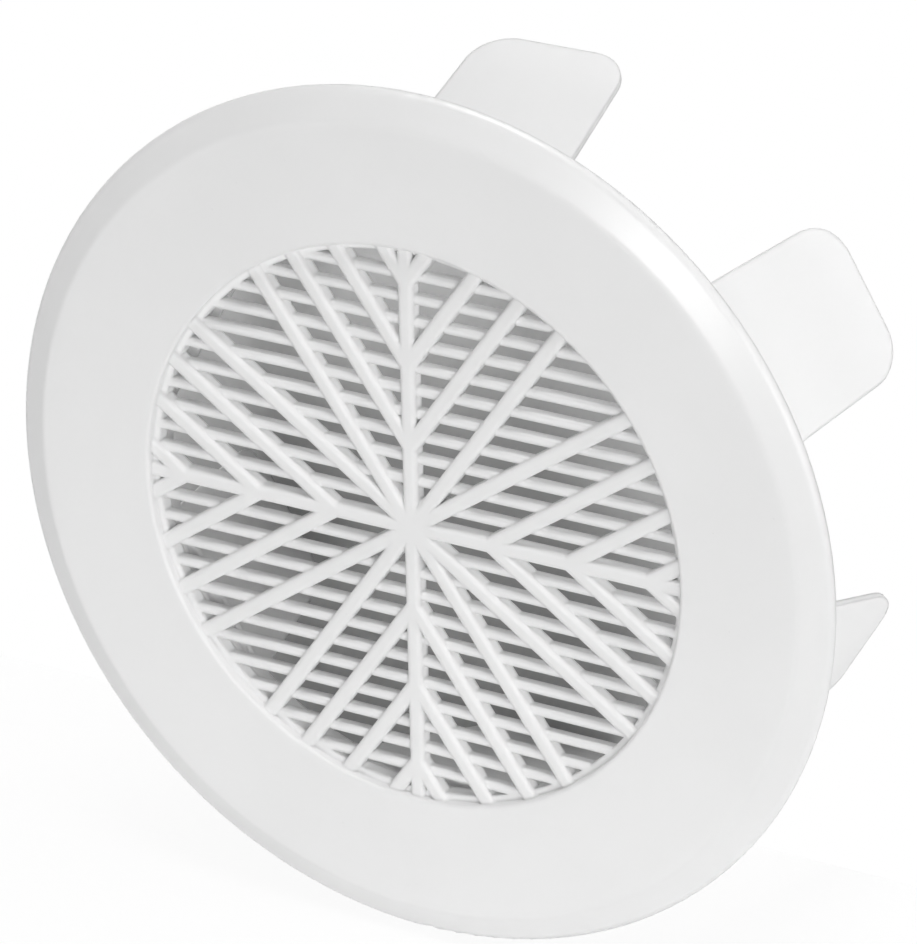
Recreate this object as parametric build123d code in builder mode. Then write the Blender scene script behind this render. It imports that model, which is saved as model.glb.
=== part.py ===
from build123d import *
import os
from math import cos, radians, sin, sqrt, tan

os.makedirs("parts", exist_ok=True)

# Round ventilation grille, moulded in one piece. Millimetres, Z up.
# The wall is the plane Y = 0, the grille looks towards -Y, and the duct runs towards +Y.
# The origin is the middle of the flange's back rim.

# Flange: a flat face, a bevel and a short rim that lies on the wall
flange_radius = 75.0
flange_height = 3.2
bevel_width = 5.15
bevel_round = 2.5
rim_height = 1.0
rim_round = 1.4
face_wall = 1.8
rim_land = 2.4

# Opening, its collar that carries the lattice and the spring tabs, and the ledge where the slats end
opening_radius = 49.25
opening_edge = 0.3
collar_wall = 1.75
collar_reach = 4.8
ledge_width = 1.15
ledge_back = 1.0

# Snowflake lattice: four spokes with chevron bars, standing on a layer of slats
bar_width = 2.6
bar_edge = 0.6
bar_recess = 1.0
lattice_back = 0.4
spoke_count = 4
chevron_angle = 35.0
chevron_pitch = 14.35
chevron_count = 4
bar_seat_depth = 0.85

# Slats: level blades, a wider first step clears the broad middle spoke
slat_recess = 1.75
slat_front_thickness = 1.5
slat_back_thickness = 1.2
slat_edge = 0.4
slat_first_offset = 4.315
slat_pitch = 4.0
slat_count = 11

# Spring tabs: six flat fingers that lean outwards and grip the duct
tab_count = 6
tab_splay = 20.0
tab_root_width = 31.5
tab_tip_width = 27.6
tab_thickness = 1.0
tab_tip_round = 7.2
tab_reach = 50.2
tab_sink = 1.0
foot_height = 1.4
foot_seat_depth = 0.95

# Where the lattice ends inside the collar's wall, so that every bar runs into solid material
seat_radius = opening_radius + bar_seat_depth
face_level = -flange_height
bar_level = face_level + bar_recess
slat_level = face_level + slat_recess
spoke_step = 360 / spoke_count
ledge_radius = opening_radius - ledge_width
collar_radius = opening_radius + collar_wall
back_level = face_level + face_wall
bevel_start_radius = flange_radius - bevel_width
bevel_slope = (flange_height - rim_height) / bevel_width
land_radius = flange_radius - rim_land
hollow_radius = land_radius + back_level / bevel_slope

# A tab's corners stand on the collar's outer edge, and its foot is as deep as the tab is there
tab_lean = tan(radians(tab_splay))
tab_root_offset = sqrt(collar_radius**2 - (tab_root_width / 2) ** 2)
root_level = collar_reach - tab_sink
root_offset = tab_root_offset - tab_sink * tab_lean
foot_offset = root_offset - tab_thickness / cos(radians(tab_splay))


# A workplane that stands across a bar, its Z axis along the bar and its Y axis to the front
def across(start, angle):
    run = Vector(cos(radians(angle)), 0, sin(radians(angle)))
    side = Vector(-sin(radians(angle)), 0, cos(radians(angle)))
    return Plane(origin=(start.X, 0, start.Z), x_dir=side, z_dir=run)


# Half of a bar's section: square at the back, with the front edge eased in two steps
first_ease = bar_edge * (1 - cos(radians(45)))
half_bar_section = [
    (0, -lattice_back),
    (bar_width / 2, -lattice_back),
    (bar_width / 2, -bar_level - bar_edge),
    (bar_width / 2 - first_ease, -bar_level - first_ease),
    (bar_width / 2 - bar_edge, -bar_level),
    (0, -bar_level),
]

with BuildPart() as grille:
    # Flange, collar and ledge in one turn about the duct's axis
    with BuildSketch(Plane.XY) as ring_section:
        with BuildLine():
            Polyline(
                (opening_radius, face_level),
                (bevel_start_radius, face_level),
                (flange_radius, -rim_height),
                (flange_radius, 0),
                (land_radius, 0),
                (hollow_radius, back_level),
                (collar_radius, back_level),
                (collar_radius, collar_reach),
                (opening_radius, collar_reach),
                (opening_radius, ledge_back),
                (ledge_radius, ledge_back),
                (ledge_radius, slat_level),
                (opening_radius, slat_level),
                close=True,
            )
        make_face()
        bevel_corner = ring_section.vertices().sort_by_distance((bevel_start_radius, face_level))[0]
        fillet(bevel_corner, radius=bevel_round)
        rim_corner = ring_section.vertices().sort_by_distance((flange_radius, -rim_height))[0]
        fillet(rim_corner, radius=rim_round)
        lip_corner = ring_section.vertices().sort_by_distance((opening_radius, face_level))[0]
        chamfer(lip_corner, length=opening_edge)
    revolve(axis=Axis.Y)

    # Slats in pairs above and below the middle spoke, their ends sunk in the ledge and the collar
    for number in range(slat_count):
        height = slat_first_offset + slat_pitch * number
        half_run = sqrt(seat_radius**2 - height**2)
        upper = across(Vector(-half_run, 0, height), 0)
        lower = across(Vector(-half_run, 0, -height), 0)
        with BuildSketch(upper, lower) as slat_section:
            with BuildLine():
                Polyline(
                    (-slat_front_thickness / 2, -slat_level),
                    (slat_front_thickness / 2, -slat_level),
                    (slat_back_thickness / 2, -lattice_back),
                    (-slat_back_thickness / 2, -lattice_back),
                    close=True,
                )
            make_face()
            top_edge = slat_section.vertices().sort_by_distance((slat_front_thickness / 2, -slat_level))[0]
            chamfer(top_edge, length=slat_edge)
        extrude(amount=2 * half_run)

    # Spokes from the hub to the collar
    with BuildSketch(*[across(Vector(0, 0, 0), spoke_step * turn) for turn in range(spoke_count)]):
        with BuildLine():
            Polyline(*half_bar_section)
            mirror(about=Plane.YZ)
        make_face()
    extrude(amount=seat_radius)

    # Chevron bars leave each spoke in pairs, the first pair at the hub
    for step in range(chevron_count):
        start_radius = chevron_pitch * step
        along = start_radius * cos(radians(chevron_angle))
        aside = start_radius * sin(radians(chevron_angle))
        run_length = sqrt(seat_radius**2 - aside**2) - along
        bar_planes = []
        for turn in range(spoke_count):
            spoke_angle = spoke_step * turn
            spoke = Vector(cos(radians(spoke_angle)), 0, sin(radians(spoke_angle)))
            bar_planes.append(across(spoke * start_radius, spoke_angle + chevron_angle))
            bar_planes.append(across(spoke * start_radius, spoke_angle - chevron_angle))
        with BuildSketch(*bar_planes):
            with BuildLine():
                Polyline(*half_bar_section)
                mirror(about=Plane.YZ)
            make_face()
        extrude(amount=run_length)

    # Feet: the collar is flat inside where each tab stands
    with BuildSketch(Plane(origin=(0, collar_reach - foot_height, 0), x_dir=(0, 0, 1), z_dir=(0, 1, 0))):
        Circle(opening_radius + foot_seat_depth)
        half_step = 180 / tab_count
        RegularPolygon(foot_offset, tab_count, major_radius=False, rotation=half_step, mode=Mode.SUBTRACT)
    extrude(amount=foot_height)

    # Spring tabs, drawn on their outer faces and thickened inwards
    tab_planes = []
    tab_length = (tab_reach - root_level) / cos(radians(tab_splay))
    for number in range(tab_count):
        angle = radians(90 + 360 / tab_count * number)
        outwards = Vector(cos(angle), 0, sin(angle))
        normal = outwards * cos(radians(tab_splay)) - Vector(0, 1, 0) * sin(radians(tab_splay))
        root = outwards * root_offset + Vector(0, 1, 0) * root_level
        tab_planes.append(Plane(origin=root, x_dir=(sin(angle), 0, -cos(angle)), z_dir=normal))
    with BuildSketch(*tab_planes) as tab_outline:
        with BuildLine():
            Polyline(
                (-tab_root_width / 2, 0),
                (tab_root_width / 2, 0),
                (tab_tip_width / 2, tab_length),
                (-tab_tip_width / 2, tab_length),
                close=True,
            )
        make_face()
        fillet(tab_outline.vertices().group_by(Axis.Y)[-1], radius=tab_tip_round)
    extrude(amount=-tab_thickness)

grille.part.label = "grille"
export_step(grille.part, "parts/grille.step")
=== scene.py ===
# %% [markdown]
# # A round ventilation grille in white plastic
#
# The grille closes the end of a duct in a wall. It is one moulding: a flange with a bevelled edge,
# a snowflake lattice over level slats in its opening, and six spring tabs behind. The exact solid
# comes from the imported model, so this lesson is about what a solid has no words for: the skin of
# the plastic, the studio it stands in and the camera that looks at it.

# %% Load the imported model
import math

import bpy
from mathutils import Matrix, Vector


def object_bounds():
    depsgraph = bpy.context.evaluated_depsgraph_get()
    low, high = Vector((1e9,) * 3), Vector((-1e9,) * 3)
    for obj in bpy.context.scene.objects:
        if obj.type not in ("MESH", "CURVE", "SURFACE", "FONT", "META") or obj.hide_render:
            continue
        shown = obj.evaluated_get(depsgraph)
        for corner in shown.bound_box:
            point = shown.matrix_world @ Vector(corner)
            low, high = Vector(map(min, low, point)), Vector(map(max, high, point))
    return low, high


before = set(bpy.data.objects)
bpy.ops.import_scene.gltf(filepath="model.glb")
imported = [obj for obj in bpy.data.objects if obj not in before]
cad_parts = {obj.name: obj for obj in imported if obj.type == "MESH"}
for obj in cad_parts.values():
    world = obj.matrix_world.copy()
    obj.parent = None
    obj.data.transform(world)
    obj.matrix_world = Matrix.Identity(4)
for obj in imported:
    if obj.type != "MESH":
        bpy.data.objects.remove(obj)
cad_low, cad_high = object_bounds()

MM = 0.001
print("nodes:", sorted(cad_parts))
print("box in mm:", [round(v / MM, 1) for v in (*cad_low, *cad_high)])

# %% [markdown]
# ## The camera
#
# A photograph fixes its camera: only one place makes the flange's outline, its opening and the
# bars fall where they do. The camera stands to the right of the grille and above it. We write its
# place as a direction, a distance and a small roll, and build its axes from them, because those
# are the words a photographer would use. A long lens keeps the circles from bulging.

# %% Place the camera
IMAGE_WIDTH = 917
AZIMUTH, ELEVATION, ROLL = (math.radians(a) for a in (29.75, 25.70, -1.25))
DISTANCE = 863.8 * MM
PIXELS_PER_METRE = 6195.8
AIM_RIGHT, AIM_UP = 7.328 * MM, 8.743 * MM
AIM_PLANE = Vector((0, -1.18 * MM, 0))

camera_back = Vector((
    math.sin(AZIMUTH) * math.cos(ELEVATION),
    -math.cos(AZIMUTH) * math.cos(ELEVATION),
    math.sin(ELEVATION),
))
level_right = Vector((math.cos(AZIMUTH), math.sin(AZIMUTH), 0))
level_up = camera_back.cross(level_right)
camera_right = level_right * math.cos(ROLL) + level_up * math.sin(ROLL)
camera_up = level_up * math.cos(ROLL) - level_right * math.sin(ROLL)

camera_data = bpy.data.cameras.new("photo_camera")
camera_data.sensor_fit = "HORIZONTAL"
camera_data.sensor_width = 36.0
camera_data.lens = camera_data.sensor_width * PIXELS_PER_METRE * DISTANCE / IMAGE_WIDTH
camera = bpy.data.objects.new("photo_camera", camera_data)
bpy.context.collection.objects.link(camera)
axes = Matrix((camera_right, camera_up, camera_back)).transposed().to_4x4()
stand = AIM_PLANE + camera_right * AIM_RIGHT + camera_up * AIM_UP + camera_back * DISTANCE
camera.matrix_world = Matrix.Translation(stand) @ axes
bpy.context.scene.camera = camera
print("lens in mm:", round(camera_data.lens, 1), "stand:", [round(v, 3) for v in stand])

# %% [markdown]
# ## Writing shader maths as Python
#
# A material is a graph of nodes. Wiring it by hand hides the idea behind the plumbing, so we wrap
# a socket in a small class. Adding or multiplying two wrapped sockets adds the Math node that does
# it, and `1 - mask` works too. Every other node comes from one method that takes the node's type,
# its settings and its inputs.

# %% A socket that can be calculated with
class Sock:
    def __init__(self, graph, socket):
        self.graph = graph
        self.socket = socket

    def math(self, operation, first, second):
        return self.graph.out("ShaderNodeMath", {"operation": operation}, {0: first, 1: second})

    def __add__(self, other):
        return self.math("ADD", self, other)

    __radd__ = __add__

    def __sub__(self, other):
        return self.math("SUBTRACT", self, other)

    def __rsub__(self, other):
        return self.math("SUBTRACT", other, self)

    def __mul__(self, other):
        return self.math("MULTIPLY", self, other)

    __rmul__ = __mul__

    def __pow__(self, other):
        return self.math("POWER", self, other)

    def over(self, edge):
        return self.math("GREATER_THAN", self, edge)


class Graph:
    def __init__(self, tree):
        self.tree = tree
        tree.nodes.clear()

    def add(self, kind, settings=None, inputs=None):
        node = self.tree.nodes.new(kind)
        for name, value in (settings or {}).items():
            setattr(node, name, value)
        for name, value in (inputs or {}).items():
            if isinstance(value, Sock):
                self.tree.links.new(value.socket, node.inputs[name])
            else:
                node.inputs[name].default_value = value
        return node

    def out(self, kind, settings=None, inputs=None, output=0):
        return Sock(self, self.add(kind, settings, inputs).outputs[output])

    def shade(self, low, high, amount):
        settings = {"interpolation_type": "SMOOTHSTEP"}
        return self.out("ShaderNodeMapRange", settings, {0: amount, 1: low, 2: high})

    def tint(self, amount, first, second):
        inputs = {0: amount, 6: first, 7: second}
        return self.out("ShaderNodeMix", {"data_type": "RGBA"}, inputs, output=2)


def new_material(name):
    material = bpy.data.materials.new(name)
    material.use_nodes = True
    return material, Graph(material.node_tree)


print("shader helpers ready")

# %% [markdown]
# ## The plastic
#
# The real grille is white styrene plastic, shot into a polished tool. Its finish changes a little
# from zone to zone, so we first say where a point lies. The part's own coordinates do that: the
# distance from the axis finds the bevel and the lattice, and the depth finds the slats and the
# tabs. Masks made this way need no unwrapping, and they follow the part wherever it is placed.

# %% Zones of the moulding
RIM_RADIUS = cad_high.x
BEVEL_WIDTH = 5.15 * MM
BEVEL_START = RIM_RADIUS - BEVEL_WIDTH
CREASE = 0.5 * MM
OPENING_RADIUS = 49.25 * MM
THIN_START, THIN_FULL = -1.75 * MM, -0.6 * MM
TAB_START, TAB_FULL = 0.0, 8 * MM


def moulding_zones(graph):
    place = graph.out("ShaderNodeTexCoord", output="Object")
    split = graph.add("ShaderNodeSeparateXYZ", None, {0: place})
    across, depth, height = (Sock(graph, split.outputs[i]) for i in range(3))
    radius = (across * across + height * height) ** 0.5
    behind = graph.shade(TAB_START, TAB_FULL, depth)
    bevel = graph.shade(BEVEL_START - CREASE, BEVEL_START + CREASE, radius) * (1 - behind)
    lattice = (1 - radius.over(OPENING_RADIUS)) * (1 - behind)
    thin = lattice * graph.shade(THIN_START, THIN_FULL, depth)
    return place, behind, bevel, thin


print("bevel starts at", round(BEVEL_START / MM, 2), "mm, opening", round(OPENING_RADIUS / MM, 2))

# %% [markdown]
# The white is a pale neutral grey, never paper white. The face has a satin gloss. The bevel came
# out of the tool glossier, and it is painted a shade darker than the face: painted shade. The tabs,
# which nobody is meant to see, are matt. Slats and the sides of bars are so thin that light seeps
# through them.
# True scattering would be slow to render, so we paint them paler instead: painted light for the
# light that seeps through. No moulded edge is sharp, and a Bevel node bends the normals at the edges
# without a change to the mesh. On a close look the skin has a fine leathery ripple and the odd speck
# of dust, made by noises and cells.

# %% White plastic
FACE_WHITE = (0.80, 0.80, 0.80, 1)
BEVEL_SHADED_WHITE = (0.765, 0.765, 0.765, 1)
THIN_PAINTED_LIGHT = (0.92, 0.92, 0.92, 1)
TAB_WHITE = (0.83, 0.83, 0.83, 1)
CLOUD_GREY = (0.60, 0.60, 0.60, 1)
DUST_GREY = (0.62, 0.62, 0.61, 1)
CLOUD_SIZE, RIPPLE_SIZE, GRAIN_SIZE, SPECK_SPACING = 36 * MM, 1.1 * MM, 0.2 * MM, 3.8 * MM
CLOUD_RANGE, DUSTY_CLOUDS, SPECK_EDGE = (0.35, 0.7), (0.55, 0.7), (0.03, 0.06)
CLOUD_DEPTH, DUST_DEPTH = 0.10, 0.35
FACE_ROUGH, BEVEL_POLISH, TAB_MATT = 0.42, 0.12, 0.16
CLOUD_ROUGH, GRAIN_ROUGH, DUST_ROUGH = 0.10, 0.06, 0.2
RIPPLE_SHARE, GRAIN_SHARE = 0.5, 0.25
RIPPLE_HEIGHT, RIPPLE_STRENGTH = 0.04 * MM, 0.12
EDGE_SOFTNESS, EDGE_SAMPLES = 0.95 * MM, 6
PLASTIC_IOR = 1.53
NOISE_MIDDLE = 0.5


def noise(graph, place, size, detail):
    inputs = {"Vector": place, "Scale": 1 / size, "Detail": detail}
    return graph.out("ShaderNodeTexNoise", None, inputs)


def white_plastic():
    material, graph = new_material("white_plastic")
    place, behind, bevel, thin = moulding_zones(graph)

    clouds = noise(graph, place, CLOUD_SIZE, 3.0)
    ripple = noise(graph, place, RIPPLE_SIZE, 2.0)
    grain = noise(graph, place, GRAIN_SIZE, 1.0)
    cells = graph.out("ShaderNodeTexVoronoi", None, {"Vector": place, "Scale": 1 / SPECK_SPACING})
    specks = (1 - graph.shade(*SPECK_EDGE, cells)) * graph.shade(*DUSTY_CLOUDS, clouds)

    # The bevel is painted a shade darker than the face: painted shade.
    skin = graph.tint(bevel, FACE_WHITE, BEVEL_SHADED_WHITE)
    # Slats and bar sides are painted paler: painted light for the light that seeps through them.
    skin = graph.tint(thin, skin, THIN_PAINTED_LIGHT)
    skin = graph.tint(behind, skin, TAB_WHITE)
    skin = graph.tint(graph.shade(*CLOUD_RANGE, clouds) * CLOUD_DEPTH, skin, CLOUD_GREY)
    skin = graph.tint(specks * DUST_DEPTH, skin, DUST_GREY)

    rough = FACE_ROUGH - bevel * BEVEL_POLISH + behind * TAB_MATT
    rough = rough + (clouds - NOISE_MIDDLE) * CLOUD_ROUGH + (grain - NOISE_MIDDLE) * GRAIN_ROUGH
    rough = rough + specks * DUST_ROUGH

    soft_edges = graph.out("ShaderNodeBevel", {"samples": EDGE_SAMPLES}, {"Radius": EDGE_SOFTNESS})
    relief = graph.out("ShaderNodeBump", None, {
        "Strength": RIPPLE_STRENGTH,
        "Distance": RIPPLE_HEIGHT,
        "Height": ripple * RIPPLE_SHARE + grain * GRAIN_SHARE,
        "Normal": soft_edges,
    })

    shader = graph.out("ShaderNodeBsdfPrincipled", None, {
        "Base Color": skin,
        "Roughness": rough,
        "IOR": PLASTIC_IOR,
        "Normal": relief,
    })
    graph.add("ShaderNodeOutputMaterial", None, {"Surface": shader})
    return material


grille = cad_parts["grille"]
plastic = white_plastic()
grille.data.materials.clear()
grille.data.materials.append(plastic)
print("plastic nodes:", len(plastic.node_tree.nodes))

# %% [markdown]
# ## The lamps
#
# White goods are photographed under large soft lamps, because a small one would burn out the
# white and draw hard shadows through the lattice. Four disks of light do it. One stands nearly
# ahead and leaves its gleam on the upper right of the bevel. One is wide, like a window to the
# right, and makes that side lighter than the left. One at the side reaches the tabs, and one above
# lights the table, which throws its light back on the grille from below. We write each lamp's place
# as a direction and a distance, as we did for the camera.

# %% Lamps
def soft_lamp(name, azimuth, elevation, distance, size, power):
    a, e = math.radians(azimuth), math.radians(elevation)
    back = Vector((math.sin(a) * math.cos(e), -math.cos(a) * math.cos(e), math.sin(e)))
    data = bpy.data.lights.new(name, "AREA")
    data.shape = "DISK"
    data.size = size
    data.energy = power
    lamp = bpy.data.objects.new(name, data)
    bpy.context.collection.objects.link(lamp)
    lamp.location = back * distance
    lamp.rotation_euler = back.to_track_quat("Z", "Y").to_euler()
    return lamp


lamps = [
    soft_lamp("front_lamp", 6, 12, 2.5, 0.7, 13.6),
    soft_lamp("window_lamp", 48, 8, 2.5, 1.6, 28.4),
    soft_lamp("side_lamp", 82, 0, 2.0, 1.2, 4.6),
    soft_lamp("top_lamp", 0, 80, 1.6, 0.5, 10.7),
]
print("watts:", {lamp.name: lamp.data.energy for lamp in lamps})

# %% [markdown]
# ## Paint for the stage
#
# The picture's ground is white, and a lit white table alone would come out grey. More light would
# help the table and ruin the grille. So the stage's paint is white by itself where a ray sees it
# directly, that is from the camera, in a gloss or through something clear. Light that only bounces
# meets an ordinary matt paint. Seen from its back, a stage plane is clear, so that the grille can
# be looked at from every side. The function `within` gives a round soft-edged mask about a point.

# %% Paint with a glow for what is seen directly
STAGE_WHITE = (0.95, 0.95, 0.95, 1)
FULL_WHITE = (1, 1, 1, 1)
STAGE_SIZE = 6.0


def within(graph, middle, core, edge):
    inputs = {0: graph.out("ShaderNodeNewGeometry", output="Position"), 1: middle}
    distance = graph.out("ShaderNodeVectorMath", {"operation": "DISTANCE"}, inputs, output="Value")
    return 1 - graph.shade(core, edge, distance)


def seen_directly(graph):
    ray = graph.add("ShaderNodeLightPath")
    names = ("Is Camera Ray", "Is Glossy Ray", "Is Transmission Ray")
    camera_ray, glossy_ray, clear_ray = (Sock(graph, ray.outputs[name]) for name in names)
    return camera_ray + glossy_ray + clear_ray


def finish_paint(graph, bounce, shown, glow):
    seen = seen_directly(graph)
    paint = graph.out("ShaderNodeBsdfDiffuse", None, {"Color": graph.tint(seen, bounce, shown)})
    white = graph.out("ShaderNodeEmission", None, {"Color": FULL_WHITE, "Strength": 1.0})
    front = graph.out("ShaderNodeMixShader", None, {0: seen * glow, 1: paint, 2: white})
    clear = graph.out("ShaderNodeBsdfTransparent")
    from_behind = graph.out("ShaderNodeNewGeometry", output="Backfacing")
    skin = graph.out("ShaderNodeMixShader", None, {0: from_behind, 1: front, 2: clear})
    graph.add("ShaderNodeOutputMaterial", None, {"Surface": skin})


def stage_plane(name, place, tilt, paint):
    bpy.ops.mesh.primitive_plane_add(size=STAGE_SIZE, location=place, rotation=(tilt, 0, 0))
    plane = bpy.context.object
    plane.name = name
    plane.data.materials.append(paint)
    return plane


print("stage planes are", STAGE_SIZE, "m wide")

# %% [markdown]
# ## The table
#
# The grille stands on its rim over a white table. A table ends, and the room beyond is darker; here
# the table goes on, and for light that only bounces its paint turns grey far off, a painted shade
# for that darker room. So the light it throws back is strongest low down: that is why the face is
# lighter at the bottom than at the top. The table lies a millimetre below the rim. Any higher, a
# strip of its white would show through the lowest gaps of the lattice.

# %% Table
TABLE_GAP = 1.0 * MM
TABLE_NEAR, TABLE_FAR = 150 * MM, 500 * MM
TABLE_GLOW = 0.93
FAR_TABLE_SHADE = (0.40, 0.40, 0.40, 1)

table_middle = Vector((0, 0, cad_low.z - TABLE_GAP))

table_paint, graph = new_material("table_paint")
# For bounced light the table's paint turns grey far off: painted shade for the darker room beyond.
near = within(graph, table_middle, TABLE_NEAR, TABLE_FAR)
finish_paint(graph, graph.tint(near, FAR_TABLE_SHADE, STAGE_WHITE), STAGE_WHITE, TABLE_GLOW)
table = stage_plane("table", table_middle, 0, table_paint)
print("table at", round(table_middle.z / MM, 1), "mm")

# %% [markdown]
# ## The board behind
#
# In a wall the tabs stand in a dark duct, and what gives the lattice its pattern is that the gaps
# are darker than the bars. A white board stands right behind the tabs and closes off the light from
# there. Where the camera looks through the lattice the board carries a round grey card of painted
# shade that stands for the dark duct: paler at the top, darker towards the bottom. For light that
# only bounces the card is painted nearly black, a painted shade that keeps the space behind dark.

# %% Board
BOARD_GAP = 0.2 * MM
SHADE_CARD_CORE, SHADE_CARD_EDGE = 50 * MM, 62 * MM
DEEPER_SHADE_DROP = 35 * MM
DEEPER_SHADE_CORE, DEEPER_SHADE_EDGE = 34 * MM, 95 * MM
SHADE_CARD_PALE, SHADE_CARD_DEEP, SHADE_CARD_BOUNCE = ((v, v, v, 1) for v in (0.83, 0.395, 0.10))

board_level = cad_high.y + BOARD_GAP
shade_card_middle = camera_back * (board_level / camera_back.y)
deeper_shade_middle = shade_card_middle - Vector((0, 0, DEEPER_SHADE_DROP))

board_paint, graph = new_material("board_paint")
# Painted shade: a round grey card on the board where the camera looks through the lattice.
shade_card = within(graph, shade_card_middle, SHADE_CARD_CORE, SHADE_CARD_EDGE)
deeper_shade = within(graph, deeper_shade_middle, DEEPER_SHADE_CORE, DEEPER_SHADE_EDGE)
# The card is painted paler at the top and darker towards the bottom, and nearly black for bounced
# light: painted shade.
shown = graph.tint(shade_card, STAGE_WHITE, graph.tint(deeper_shade, SHADE_CARD_PALE, SHADE_CARD_DEEP))
finish_paint(graph, graph.tint(shade_card, STAGE_WHITE, SHADE_CARD_BOUNCE), shown, 1 - shade_card)
board_middle = (0, board_level, table_middle.z + STAGE_SIZE / 2)
board = stage_plane("board", board_middle, math.radians(90), board_paint)
print("board at", round(board_level / MM, 1), "mm, card about", [round(v / MM) for v in shade_card_middle])

# %% [markdown]
# ## The world
#
# Beyond the table and the board the world is white to the camera, and to everything else it is a
# weak even light, which opens the deepest shadows a little and lights the back of the grille.

# %% World
FILL = 0.15

world = bpy.data.worlds.new("studio_world")
bpy.context.scene.world = world
world.use_nodes = True
graph = Graph(world.node_tree)
fill = graph.out("ShaderNodeBackground", None, {"Color": FULL_WHITE, "Strength": FILL})
white = graph.out("ShaderNodeBackground", None, {"Color": FULL_WHITE, "Strength": 1.0})
choice = graph.out("ShaderNodeMixShader", None, {0: seen_directly(graph), 1: fill, 2: white})
graph.add("ShaderNodeOutputWorld", None, {"Surface": choice})
print("fill light:", FILL)

# %% [markdown]
# ## Last setting
#
# The view transform is Standard.

# %% Set the view transform
bpy.context.scene.view_settings.view_transform = "Standard"
